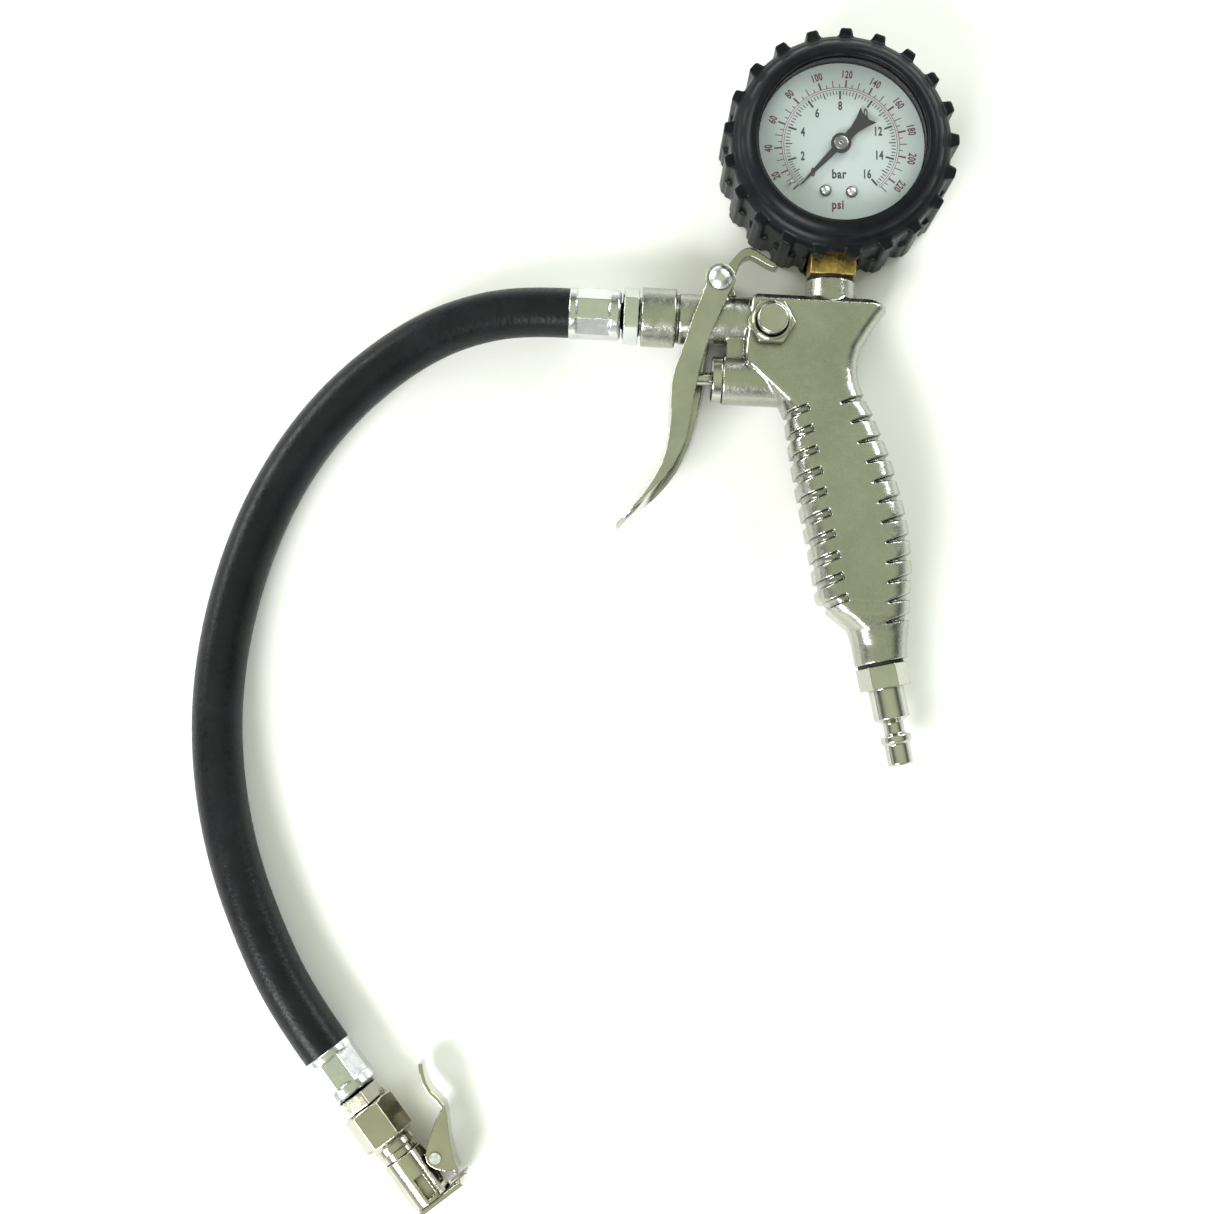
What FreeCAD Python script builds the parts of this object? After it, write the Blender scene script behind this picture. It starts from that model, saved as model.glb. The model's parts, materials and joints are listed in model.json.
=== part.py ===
import FreeCAD, Part
import math
import os
import Sketcher

# Tyre inflator gun with dial gauge, rubber whip hose and clip-on chuck, lying on its side.
# Working frame while building: X along the barrel (hose end at -X), Y towards the gauge, Z up from the surface
# it lies on. The barrel axis is Y = 0. Every node is then shifted so that the origin is the middle of the
# gun's footprint. Millimetres throughout.

os.makedirs("parts", exist_ok=True)
V = FreeCAD.Vector
doc = FreeCAD.newDocument("TyreInflator")

P = [
    # frame
    ("origin_x", -4.95, "footprint middle along the barrel"), ("origin_y", -24.612, "footprint middle across it"),
    ("mid_z", 12.5, "height of the gun's middle plane"),
    # barrel and hose boss
    ("barrel_r", 8.6, "barrel radius"), ("barrel_len", 24.6, "barrel length"), ("boss_r", 10.0, "hose boss radius"),
    ("boss_len", 11.6, "hose boss length"), ("groove_r", 8.0, "groove floor radius"), ("air_bore_r", 3.0, "air passage radius"),
    ("thread_r", 6.58, "G1/4 thread radius"), ("thread_len", 10.5, "thread engagement"),
    # valve
    ("valve_y", -20.3, "valve axis below the barrel axis"), ("valve_house_r", 8.35, "valve housing radius"),
    ("valve_bore_r", 4.6, "valve chamber radius"), ("gland_r", 7.85, "gland nut radius"), ("gland_len", 3.2, "gland nut head"),
    ("gland_thread_r", 5.6, "gland nut thread radius"), ("plunger_r", 2.2, "plunger radius"), ("plunger_hole_r", 2.26, "plunger guide radius"),
    ("poppet_r", 3.9, "poppet radius"), ("seat_hole_r", 2.9, "seat hole radius"),
    # release button
    ("button_x", -0.8, "button axis"), ("button_y", -2.0, "button axis"), ("button_r", 5.2, "button radius"),
    ("button_len", 7.0, "button head length"), ("nut_af", 14.0, "release nut across flats"), ("nut_len", 3.3, "release nut head"),
    ("button_bore_r", 5.5, "bore round the button"), ("button_stem_r", 1.5, "button stem radius"),
    # trigger
    ("pivot_x", -18.6, "trigger pivot"), ("pivot_y", 12.0, "trigger pivot"), ("pivot_r", 2.5, "pivot pin radius"),
    ("pivot_head_r", 4.0, "pivot head radius"), ("trigger_sheet", 1.6, "trigger sheet thickness"), ("cheek_gap", 9.3, "half gap between cheeks"),
    # gauge
    ("gauge_x", 19.4, "gauge axis"), ("gauge_y", 59.4, "gauge axis"), ("stub_r", 8.5, "gauge boss radius"),
    ("stem_af", 15.4, "gauge stem square"), ("washer_r", 8.0, "sealing washer radius"), ("washer_t", 1.1, "sealing washer thickness"),
    ("case_r", 31.5, "gauge case radius"), ("case_wall", 0.8, "case sheet"), ("case_back_z", 2.7, "case back"),
    ("case_front_z", 27.0, "case front"), ("dial_r", 28.2, "dial radius"), ("dial_z", 25.0, "dial underside"), ("dial_t", 0.6, "dial sheet"),
    ("lens_r", 28.3, "lens radius"), ("lens_z", 29.2, "lens underside"), ("lens_t", 1.5, "lens thickness"),
    ("boot_r", 37.3, "boot wall radius"), ("lug_tip_r", 39.7, "boot radius over the lugs"), ("lug_count", 21, "boot lugs"),
    ("boot_front_z", 34.5, "boot front"), ("boot_window_r", 28.3, "boot window radius"),
    # inlet plug
    ("inlet_x", 41.7, "inlet face centre"), ("inlet_y", -113.6, "inlet face centre"), ("inlet_tilt", 14.0, "inlet axis tilt"),
    ("plug_af", 15.0, "plug hexagon"), ("plug_body_r", 6.0, "plug body radius"), ("plug_neck_r", 3.5, "plug neck radius"),
    ("plug_ring_r", 5.2, "plug ring radius"), ("plug_nose_r", 4.4, "plug nose radius"), ("plug_bore_r", 2.5, "plug bore radius"),
    # hose and fittings
    ("hose_r", 8.4, "hose radius"), ("ferrule_rim_r", 8.65, "ferrule rim radius"), ("ferrule_r", 8.2, "ferrule crimp radius"),
    ("ferrule_len", 17.5, "ferrule length"), ("hose_nut_af", 17.0, "hose nut across flats"), ("stem_r", 4.4, "hose stem radius"),
    ("stem_bore_r", 2.6, "hose stem bore"), ("chuck_z", 8.8, "chuck axis height"), ("chuck_x", -135.35, "hose end"),
    ("chuck_y", -251.45, "hose end"), ("chuck_turn", -50.2, "chuck direction"),
    # chuck
    ("chuck_af", 16.0, "chuck hexagon"), ("chuck_nut_af", 14.5, "chuck hose nut"), ("chuck_neck_r", 7.0, "chuck neck radius"),
    ("sleeve_r", 7.1, "clip sleeve radius"), ("sleeve_bore_r", 4.1, "tyre valve bore"), ("sleeve_spigot_r", 5.2, "sleeve spigot radius"),
    ("lever_pin_r", 1.2, "lever pin radius"), ("lever_s", 49.0, "lever pivot along the chuck"), ("lever_n", 9.1, "lever pivot beside the chuck"),
]
sheet = doc.addObject("Spreadsheet::Sheet", "Dimensions")
D = {}
for row, (alias, value, note) in enumerate(P, start=1):
    sheet.set("A%d" % row, note)
    sheet.set("B%d" % row, str(value))
    sheet.setAlias("B%d" % row, alias)
    D[alias] = float(value)
doc.recompute()


def val(a):
    return D[a] if isinstance(a, str) else float(a)


def bind(obj, prop, a):
    if isinstance(a, str):
        obj.setExpression(prop, "Dimensions." + a)
    else:
        setattr(obj, prop, a)


AXES = {"x": V(1, 0, 0), "-x": V(-1, 0, 0), "y": V(0, 1, 0), "-y": V(0, -1, 0), "z": V(0, 0, 1), "-z": V(0, 0, -1)}


def turn_to(axis):
    return FreeCAD.Rotation(V(0, 0, 1), AXES[axis] if isinstance(axis, str) else axis)


def cyl(name, r, length, base, axis="z"):
    o = doc.addObject("Part::Cylinder", name)
    bind(o, "Radius", r)
    bind(o, "Height", length)
    o.Placement = FreeCAD.Placement(V(*base), turn_to(axis))
    return o


def cone(name, r1, r2, length, base, axis="z"):
    o = doc.addObject("Part::Cone", name)
    bind(o, "Radius1", r1)
    bind(o, "Radius2", r2)
    bind(o, "Height", length)
    o.Placement = FreeCAD.Placement(V(*base), turn_to(axis))
    return o


def box(name, lo, hi):
    o = doc.addObject("Part::Box", name)
    o.Length, o.Width, o.Height = hi[0] - lo[0], hi[1] - lo[1], hi[2] - lo[2]
    o.Placement = FreeCAD.Placement(V(*lo), FreeCAD.Rotation())
    return o


def hexa(name, af, length, base, axis="z", spin=0.0):
    # regular hexagon; the circumradius follows from the width across flats
    o = doc.addObject("Part::Prism", name)
    o.Polygon = 6
    if isinstance(af, str):
        o.setExpression("Circumradius", "Dimensions.%s / 2 / cos(30 deg)" % af)
    else:
        o.Circumradius = af / 2 / math.cos(math.radians(30))
    bind(o, "Height", length)
    rot = turn_to(axis).multiply(FreeCAD.Rotation(V(0, 0, 1), spin))
    o.Placement = FreeCAD.Placement(V(*base), rot)
    return o


def ring(name, cx, cy, cz, big, small):
    o = doc.addObject("Part::Torus", name)
    bind(o, "Radius1", big)
    bind(o, "Radius2", small)
    o.Placement = FreeCAD.Placement(V(cx, cy, cz), FreeCAD.Rotation())
    return o


def plate(name, points, z0, thick):
    # closed outline in XY, extruded upwards from z0
    s = doc.addObject("Sketcher::SketchObject", name + "_outline")
    n = len(points)
    for i in range(n):
        a, b = points[i], points[(i + 1) % n]
        s.addGeometry(Part.LineSegment(V(a[0], a[1], 0), V(b[0], b[1], 0)), False)
    for i in range(n):
        s.addConstraint(Sketcher.Constraint("Coincident", i, 2, (i + 1) % n, 1))
    s.Placement = FreeCAD.Placement(V(0, 0, z0), FreeCAD.Rotation())
    e = doc.addObject("Part::Extrusion", name)
    e.Base = s
    e.DirMode = "Custom"
    e.Dir = V(0, 0, 1)
    bind(e, "LengthFwd", thick)
    e.Solid = True
    return e


def feature(name, shape):
    o = doc.addObject("Part::Feature", name)
    o.Shape = shape
    return o


def fuse(name, items):
    o = doc.addObject("Part::MultiFuse", name)
    o.Shapes = items
    o.Refine = True
    return o


def cut(name, base, tools):
    o = doc.addObject("Part::Cut", name)
    o.Base = base
    if len(tools) > 1:
        group = fuse(name + "_tools", tools)
        group.Refine = False
        o.Tool = group
    else:
        o.Tool = tools[0]
    o.Refine = True
    return o


NODES = {}


def node(name, obj, group="gun"):
    obj.Label = name
    NODES[name] = (obj, group)
    return obj


Z = D["mid_z"]
GX, GY = D["gauge_x"], D["gauge_y"]

# ---------------------------------------------------------------- cast body
def section(y, xf, xb, half, rf, rb):
    z0, z1 = Z - half, Z + half
    q = math.sqrt(0.5)
    e = []
    def arc(cx, cz, r, a0):
        p = [V(cx + r * math.cos(math.radians(a0 + k)), y, cz + r * math.sin(math.radians(a0 + k))) for k in (0, 45, 90)]
        return Part.Arc(*p).toShape(), p[0], p[2]
    corners = [arc(xb - rb, z1 - rb, rb, 0), arc(xf + rf, z1 - rf, rf, 90), arc(xf + rf, z0 + rf, rf, 180), arc(xb - rb, z0 + rb, rb, 270)]
    for i, (edge, a, b) in enumerate(corners):
        e.append(edge)
        e.append(Part.LineSegment(b, corners[(i + 1) % 4][1]).toShape())
    return Part.Wire(e)


HEAD = [(8.4, -6.9, 35.3, 7.6, 1.6, 4.2), (6.6, -7.8, 38.2, 8.9, 1.6, 5.0), (5.2, -7.9, 38.3, 8.9, 1.6, 5.2), (2.0, -8.1, 36.0, 8.9, 1.6, 5.2),
        (-2.7, -8.5, 33.2, 8.9, 1.6, 5.4), (-8.2, -9.0, 30.3, 8.9, 1.6, 5.6), (-12.3, -9.2, 29.4, 9.0, 1.6, 5.8), (-16.0, -8.0, 29.4, 9.1, 2.0, 6.0),
        (-20.8, -3.0, 30.4, 9.4, 3.0, 6.4), (-28.0, 4.0, 33.8, 10.0, 5.0, 7.0)]
GRIP = [(-28.0, 4.0, 33.8, 10.0, 5.0, 7.0), (-33.3, 6.0, 36.5, 10.4, 5.8, 7.2), (-40.0, 7.3, 39.5, 10.8, 6.2, 7.4), (-47.0, 8.7, 42.3, 11.2, 6.4, 7.6),
        (-54.4, 10.4, 44.6, 11.5, 6.6, 7.8), (-62.0, 12.2, 47.0, 11.8, 6.8, 8.0), (-71.7, 14.7, 49.1, 12.0, 7.0, 8.0), (-80.0, 16.7, 50.0, 12.25, 7.0, 8.0),
        (-87.0, 18.1, 50.2, 12.38, 7.0, 8.0), (-94.0, 19.6, 50.2, 12.4, 7.0, 8.0)]
FOOT = [(-94.0, 19.6, 50.2, 12.4, 7.0, 8.0), (-98.5, 23.9, 50.2, 11.8, 7.0, 8.0), (-103.5, 30.4, 50.2, 9.9, 7.0, 8.0), (-108.5, 31.9, 50.2, 9.0, 7.4, 7.8),
        (-118.0, 33.9, 50.6, 8.6, 7.6, 7.8)]


def inner(sec, dx, dz):
    y, xf, xb, half, rf, rb = sec
    return section(y, xf + dx, xb - dx, half - dz, rf - 0.9, rb - 0.9)


head = feature("head_form", Part.makeLoft([section(*s) for s in HEAD], True, True))
grip = feature("grip_form", Part.makeLoft([section(*s) for s in GRIP], True, False))
foot = feature("foot_form", Part.makeLoft([section(*s) for s in FOOT], True, True))

# finger grooves round the front of the grip and wedge grooves round its back, 1.3 mm deep
core = Part.makeLoft([inner((-22.0, 0.0, 31.5, 9.6, 4.0, 6.6), 1.5, 1.3)] + [inner(s, 1.5, 1.3) for s in GRIP[0:]] +
                     [inner((-104.0, 31.5, 50.2, 10.4, 7.0, 8.0), 1.5, 1.3)], True, True)
tools = []
for i in range(10):
    cx, cy = 9.6 + 1.72 * i, -31.5 - 7.03 * i
    b = Part.makeBox(14.0, 2.5, 40.0, V(-10.2, -1.25, Z - 20))
    b.rotate(V(0, 0, 0), V(0, 0, 1), 24)
    b.translate(V(cx, cy, 0))
    tools.append(b)
BACK = {y: xb for (y, xf, xb, h, rf, rb) in HEAD + GRIP + FOOT}


def back_edge(y):
    ys = sorted(BACK)
    for a, b in zip(ys, ys[1:]):
        if a <= y <= b:
            k = (y - a) / (b - a)
            return BACK[a] * (1 - k) + BACK[b] * k
    return BACK[ys[0]]


for i in range(12):
    y = -25.6 - 6.65 * i
    xb = back_edge(y)
    pts = [V(xb - 12.5, y - 3.6, Z - 20), V(xb + 3, y + 0.3, Z - 20), V(xb + 3, y + 3.4, Z - 20), V(xb - 6.5, y - 0.9, Z - 20)]
    tools.append(Part.Face(Part.makePolygon(pts + [pts[0]])).extrude(V(0, 0, 40)))
grooves = feature("groove_tools", Part.makeCompound(tools).cut(core))

hook_pts = [(-19.2, 5), (-18.6, 12), (-16.3, 18.6), (-13.9, 21.8), (-12.2, 23.8), (-10.4, 25.1), (-8.6, 25.5), (-6.4, 24.6), (-4, 23.2), (0.2, 20.7), (1.3, 19.4),
            (0.4, 18.6), (-1.0, 19.0), (-3.4, 20.0), (-5.9, 21.4), (-8.3, 22.4), (-10.2, 21.8), (-11.9, 19.9), (-12.9, 16.6), (-14.0, 12.3), (-13.2, 9.8), (-11, 5)]
inlet_dir = V(math.sin(math.radians(D["inlet_tilt"])), -math.cos(math.radians(D["inlet_tilt"])), 0)
F = V(D["inlet_x"], D["inlet_y"], Z)


def along(s):
    p = F + inlet_dir * s
    return (p.x, p.y, p.z)


solid = fuse("casting", [
    head, grip, foot,
    cyl("barrel", "barrel_r", "barrel_len", (-31.6, 0, Z), "x"),
    cyl("boss_groove", "groove_r", 1.6, (-33.0, 0, Z), "x"),
    cyl("hose_boss", "boss_r", "boss_len", (-44.4, 0, Z), "x"),
    cyl("valve_house", "valve_house_r", 21.0, (-16.0, D["valve_y"], Z), "x"),
    box("barrel_web", (-15.2, -14.6, Z - 5), (-7.0, -6.0, Z + 5)),
    box("pivot_web", (-21.6, 5.0, Z - 6.5), (-15.6, 12.0, Z + 6.5)),
    cyl("pivot_boss", 4.4, 17.8, (D["pivot_x"], D["pivot_y"], Z - 8.9), "z"),
    plate("hook", hook_pts, Z - 3, 6.0),
    cyl("gauge_boss", "stub_r", 8.3, (GX, 7.0, Z), "y"),
    cone("gauge_boss_taper", 7.2, "stub_r", 5.2, (GX, 1.8, Z), "y"),
])
trim = feature("foot_trim", Part.makeBox(60, 30, 60, V(-30, -30, Z - 30)))
trim.Placement = FreeCAD.Placement(V(F.x, F.y, 0), FreeCAD.Rotation(V(0, 0, 1), D["inlet_tilt"]))
passage_start = V(*along(-6.0))
pd = V(22.0, -21.0, Z) - passage_start
grooved = cut("grooved_casting", cut("trimmed_casting", solid, [trim]), [grooves])
bores = [
    cyl("barrel_air", "air_bore_r", 64.5, (-45.0, 0, Z), "x"),
    cyl("hose_thread", "thread_r", "thread_len", (-44.5, 0, Z), "x"),
    cyl("valve_chamber", "valve_bore_r", 38.0, (-8.0, D["valve_y"], Z), "x"),
    cyl("gland_thread", "gland_thread_r", 8.6, (-16.1, D["valve_y"], Z), "x"),
    cyl("transfer", 1.8, 20.3, (-4.6, D["valve_y"], Z), "y"),
    cyl("gauge_air", 2.0, 16.0, (GX, 0, Z), "y"),
    cyl("gauge_thread", "thread_r", 12.6, (GX, 3.0, Z), "y"),
    cyl("grip_air", 3.2, pd.Length, (passage_start.x, passage_start.y, Z), V(pd.x, pd.y, 0)),
    cyl("inlet_thread", "thread_r", 14.0, along(-10.8), inlet_dir),
    cyl("release_bore", 2.9, 6.0, (D["button_x"], D["button_y"], 8.4), "z"),
    cyl("release_thread", 5.9, 12.0, (D["button_x"], D["button_y"], 14.2), "z"),
    cyl("pivot_hole", 2.5, 30.0, (D["pivot_x"], D["pivot_y"], Z - 15), "z"),
    cyl("vent_hole", 1.0, 14.0, (D["button_x"], D["button_y"], 16.0), "y"),
]
body = grooved
for i, tool in enumerate(bores):
    body = cut("bored_%d" % i, body, [tool])
    body.Refine = False
node("gun_body", body)

# ---------------------------------------------------------------- trigger
px, py = D["pivot_x"], D["pivot_y"]
left = [(-23.4, 9.4), (-25.1, 4.2), (-27.4, -2.1), (-29.2, -9.0), (-31.0, -15.0), (-32.6, -20.0), (-33.3, -25.0), (-33.2, -31.0), (-33.0, -37.1), (-33.3, -42.0), (-33.9, -47.0),
        (-35.3, -52.2), (-37.6, -57.0), (-40.8, -62.4), (-44.6, -67.4), (-49.6, -72.4)]
right_near = [(-43.2, -66.5), (-39.9, -63.2), (-36.6, -59.4), (-33.9, -55.9), (-31.4, -52.2), (-29.0, -47.0), (-27.3, -42.0), (-26.4, -36.8), (-25.4, -28.2), (-24.2, -20.3), (-22.6, -12.8), (-20.8, -7.0), (-18.8, -1.6), (-16.3, 5.0), (-14.4, 9.6)]
right_far = [(-43.0, -66.9), (-39.4, -63.6), (-35.8, -60.0), (-32.6, -56.0), (-29.6, -51.4), (-27.6, -47.0), (-25.9, -42.0), (-24.5, -36.0), (-23.3, -30.5), (-22.2, -24.0), (-21.8, -19.0), (-21.6, -12.8), (-20.4, -7.0), (-18.8, -1.6), (-16.3, 5.0), (-14.4, 9.6)]
cap = [(px + 5.2 * math.cos(math.radians(a)), py + 5.2 * math.sin(math.radians(a))) for a in (-10, 20, 50, 80, 110, 140, 170, 198)]
outer = left[:15]
near_cheek = plate("near_cheek", cap + outer + right_near, Z + D["cheek_gap"], "trigger_sheet")
far_cheek = plate("far_cheek", cap + outer + right_far, Z - D["cheek_gap"] - D["trigger_sheet"], "trigger_sheet")


def strip(path, t):
    out = []
    for i, p in enumerate(path):
        a, b = path[max(0, i - 1)], path[min(len(path) - 1, i + 1)]
        dx, dy = b[0] - a[0], b[1] - a[1]
        n = math.hypot(dx, dy)
        out.append((p[0] - dy / n * t, p[1] + dx / n * t))
    return path + out[::-1]


web_path = left[4:]
web = plate("trigger_web", strip(web_path, 1.6), Z - D["cheek_gap"], 2 * D["cheek_gap"])
profile = [(20, -9.9), (-66.6, -9.9), (-68.4, -9.0), (-70.4, -7.4), (-72.0, -5.2), (-73.2, -2.6), (-73.6, 0.0), (-73.2, 2.6), (-72.0, 5.2), (-70.4, 7.4), (-68.4, 9.0), (-66.6, 9.9), (20, 9.9)]
wire = Part.makePolygon([V(-60, y, Z + z) for y, z in profile + [profile[0]]])
narrow = feature("trigger_taper", Part.Face(wire).extrude(V(60, 0, 0)))
shaped = doc.addObject("Part::Common", "trigger_web_shaped")
shaped.Base, shaped.Tool = web, narrow
node("trigger", cut("trigger_form", fuse("trigger_raw", [near_cheek, far_cheek, shaped]), [cyl("trigger_hole", 2.56, 30.0, (px, py, Z - 15), "z")]))

gap = D["cheek_gap"] + D["trigger_sheet"]
dome = doc.addObject("Part::Sphere", "pin_dome")
dome.Radius = 4.9
dome.Placement = FreeCAD.Placement(V(px, py, Z + gap + 0.12 + 0.9 + 1.9 - 4.9), FreeCAD.Rotation())
domebox = box("pin_dome_box", (px - 6, py - 6, Z + gap + 1.02), (px + 6, py + 6, Z + gap + 5))
domecut = doc.addObject("Part::Common", "pin_dome_cut")
domecut.Base, domecut.Tool = dome, domebox
headcyl = cyl("pin_head", "pivot_head_r", 0.9, (px, py, Z + gap + 0.12), "z")
node("trigger_pivot_pin", fuse("pin_form", [cyl("pin_shank", "pivot_r", 2 * gap + 0.4, (px, py, Z - gap - 0.2), "z"), headcyl, domecut,
                                               cyl("pin_tail", 3.4, 1.0, (px, py, Z - gap - 1.15), "z")]))

# ---------------------------------------------------------------- air valve
vy = D["valve_y"]
gl = fuse("gland_raw", [cyl("gland_head", "gland_r", "gland_len", (-19.3, vy, Z), "x"), cyl("gland_screw", 5.5, 8.2, (-16.1, vy, Z), "x"),
                        cone("gland_edge", 6.9, "gland_r", 0.5, (-19.8, vy, Z), "x")])
node("valve_gland_nut", cut("gland_form", gl, [cyl("gland_hole", "plunger_hole_r", 14.0, (-20.5, vy, Z), "x"), cyl("gland_pocket", 3.7, 3.0, (-10.8, vy, Z), "x")]))
node("plunger_seal", cut("seal_form", cyl("seal_raw", 3.65, 1.8, (-10.7, vy, Z), "x"), [cyl("seal_hole", 2.26, 3.0, (-11.2, vy, Z), "x")]))
node("valve_seat", cut("seat_form", cyl("seat_raw", 4.55, 3.0, (-1.2, vy, Z), "x"), [cyl("seat_hole", "seat_hole_r", 4.0, (-1.6, vy, Z), "x")]))
node("valve_plunger", fuse("plunger_form", [cyl("plunger_rod", "plunger_r", 32.6, (-30.0, vy, Z), "x"), cone("plunger_tip", 1.2, "plunger_r", 0.5, (-30.5, vy, Z), "x"),
                                             cyl("poppet_stem", 1.6, 6.0, (2.5, vy, Z), "x"), cyl("poppet_disc", "poppet_r", 1.4, (3.2, vy, Z), "x")]))
node("poppet_seal", cut("poppet_seal_form", cyl("poppet_seal_raw", 3.7, 1.15, (1.95, vy, Z), "x"), [cyl("poppet_seal_hole", 2.22, 3.0, (1.0, vy, Z), "x")]))


def coil(r, wire_r, length, turns, base, axis):
    # the coil's own axis is Z; the ends are left open
    h = Part.makeHelix(length / turns, length, r)
    start = V(r, 0, 0)
    prof = Part.Wire(Part.makeCircle(wire_r, start, V(0, 1, 0)))
    s = Part.Wire(h.Edges).makePipeShell([prof], True, True)
    f = feature("coil", s)
    f.Placement = FreeCAD.Placement(V(*base), turn_to(axis))
    return f


node("valve_spring", coil(3.0, 0.4, 11.2, 6, (5.1, vy, Z), "x"))

# ---------------------------------------------------------------- release button
bx, by = D["button_x"], D["button_y"]
top = Z + 8.9
nut = fuse("release_raw", [hexa("release_hex", "nut_af", "nut_len", (bx, by, top), "z", 0.0), cyl("release_screw", 5.8, 7.0, (bx, by, top - 7.0), "z"),
                           cyl("release_collar", 6.35, 0.6, (bx, by, top + D["nut_len"]), "z")])
node("release_nut", cut("release_form", nut, [cyl("button_bore", "button_bore_r", 12.0, (bx, by, top - 4.4), "z"), cyl("stem_bore", 1.56, 12.0, (bx, by, top - 9), "z")]))
button = fuse("button_raw", [cyl("button_head", "button_r", 6.4, (bx, by, top + 1.1), "z"), cone("button_edge", "button_r", 4.7, 0.6, (bx, by, top + 7.5), "z"),
                             cyl("button_stem", "button_stem_r", 10.6, (bx, by, top - 9.4), "z")])
node("release_button", button)
node("release_seal", cut("release_seal_form", cyl("release_seal_raw", 2.6, 1.2, (bx, by, top - 8.6), "z"), [cyl("release_seal_hole", 1.5, 3, (bx, by, top - 9.6), "z")]))
node("release_spring", coil(3.4, 0.35, 4.4, 3, (bx, by, top - 3.9), "z"))

# ---------------------------------------------------------------- inlet plug
plug = fuse("plug_raw", [
    hexa("plug_hex", "plug_af", 7.6, along(1.1), inlet_dir, 21.0),
    cyl("plug_screw", 6.5, 11.6, along(-10.4), inlet_dir),
    cyl("plug_body", "plug_body_r", 10.2, along(8.7), inlet_dir),
    cone("plug_shoulder", "plug_body_r", "plug_neck_r", 1.6, along(18.9), inlet_dir),
    cyl("plug_neck", "plug_neck_r", 5.0, along(20.5), inlet_dir),
    cone("plug_ring_back", "plug_neck_r", "plug_ring_r", 0.7, along(24.2), inlet_dir),
    cyl("plug_ring", "plug_ring_r", 1.9, along(24.9), inlet_dir),
    cone("plug_ring_front", "plug_ring_r", "plug_nose_r", 1.0, along(26.8), inlet_dir),
    cyl("plug_nose", "plug_nose_r", 6.4, along(27.8), inlet_dir),
    cone("plug_tip", "plug_nose_r", 3.9, 0.6, along(34.2), inlet_dir),
])
node("inlet_plug", cut("plug_form", plug, [cyl("plug_bore", "plug_bore_r", 48.0, along(-11.5), inlet_dir)]))
node("inlet_washer", cut("inlet_washer_form", cyl("inlet_washer_raw", 7.7, 0.9, along(0.1), inlet_dir), [cyl("inlet_washer_hole", 6.55, 3, along(-1), inlet_dir)]))
node("inlet_strainer", cut("strainer_form", cyl("strainer_cup", 2.45, 8.0, along(-10.2), inlet_dir),
                           [cyl("strainer_hole", 1.7, 7.2, along(-9.4), inlet_dir)]))

# ---------------------------------------------------------------- gauge
sy = 15.3 + D["washer_t"]
node("gauge_washer", cut("gauge_washer_form", cyl("gauge_washer_raw", "washer_r", 1.08, (GX, 15.31, Z), "y"), [cyl("gauge_washer_hole", 6.55, 3, (GX, 14.5, Z), "y")]))
half = D["stem_af"] / 2
sq = box("stem_square", (GX - half, sy, Z - half), (GX + half, 31.6, Z + half))
inner_block = box("stem_inner", (GX - 6.0, 31.0, Z - 6.0), (GX + 1.98, 38.0, Z + 4.0))
node("gauge_stem_block", cut("stem_form", fuse("stem_raw", [sq, inner_block, cyl("stem_screw", 6.5, 12.4, (GX, sy - 12.2, Z), "y")]),
                             [cyl("stem_air", 1.6, 30.0, (GX, 2.0, Z), "y")]))


def pd_body(name):
    return doc.addObject("PartDesign::Body", name)


def on_plane(b, name, role, segs, offset=None):
    s = b.newObject("Sketcher::SketchObject", name)
    s.AttachmentSupport = [(next(f for f in b.Origin.OriginFeatures if f.Role == role), "")]
    s.MapMode = "FlatFace"
    if offset is not None:
        s.AttachmentOffset = offset
    n = len(segs)
    for i in range(n):
        a, c = segs[i], segs[(i + 1) % n]
        s.addGeometry(Part.LineSegment(V(a[0], a[1], 0), V(c[0], c[1], 0)), False)
    for i in range(n):
        s.addConstraint(Sketcher.Constraint("Coincident", i, 2, (i + 1) % n, 1))
    return s


def revolved(name, pts):
    # (radius, height) outline turned about the body's own Z axis
    b = pd_body(name)
    s = on_plane(b, name + "_profile", "XZ_Plane", pts)
    r = b.newObject("PartDesign::Revolution", name + "_turned")
    r.Profile = s
    r.ReferenceAxis = (s, ["V_Axis"])
    r.Angle = 360
    doc.recompute()
    return b, r


# rubber boot: turned shell, lugs in a polar pattern, notch for the stem
def lug_turn(pts):
    # one lug points straight away from the stem
    t = math.radians(90.0 % (360.0 / D["lug_count"]))
    return [(x * math.cos(t) - y * math.sin(t), x * math.sin(t) + y * math.cos(t)) for x, y in pts]


boot, _ = revolved("gauge_boot", [
    (12.0, 0.0), (36.2, 0.0), (37.3, 1.2), (37.3, 26.4), (36.7, 28.0), (35.2, 29.8), (33.9, 30.8), (33.3, 32.2), (32.2, 33.4), (30.8, 34.3), (29.4, 34.5), (28.5, 34.2), (28.3, 33.4), (28.3, 31.4),
    (31.75, 31.4), (31.75, 2.6), (12.0, 2.6)])
lug_sk = on_plane(boot, "lug_profile", "XY_Plane", lug_turn([(34.0, -2.5), (37.2, -2.4), (39.3, -1.95), (39.686, -1.5), (39.686, 1.5), (39.3, 1.95), (37.2, 2.4), (34.0, 2.5)]))
lug = boot.newObject("PartDesign::Pad", "lug")
lug.Profile = lug_sk
lug.Length = 28.4
foot_sk = on_plane(boot, "lug_foot_profile", "XY_Plane", lug_turn([(34.0, -4.6), (37.0, -4.6), (38.7, -3.4), (38.7, 3.4), (37.0, 4.6), (34.0, 4.6)]))
lug_foot = boot.newObject("PartDesign::Pad", "lug_foot")
lug_foot.Profile = foot_sk
lug_foot.Length = 14.0
doc.recompute()
pat = boot.newObject("PartDesign::PolarPattern", "lugs")
pat.Originals = [lug, lug_foot]
pat.Axis = (lug_sk, ["N_Axis"])
pat.Angle = 360
pat.setExpression("Occurrences", "Dimensions.lug_count")
boot.Tip = pat
doc.recompute()
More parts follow.
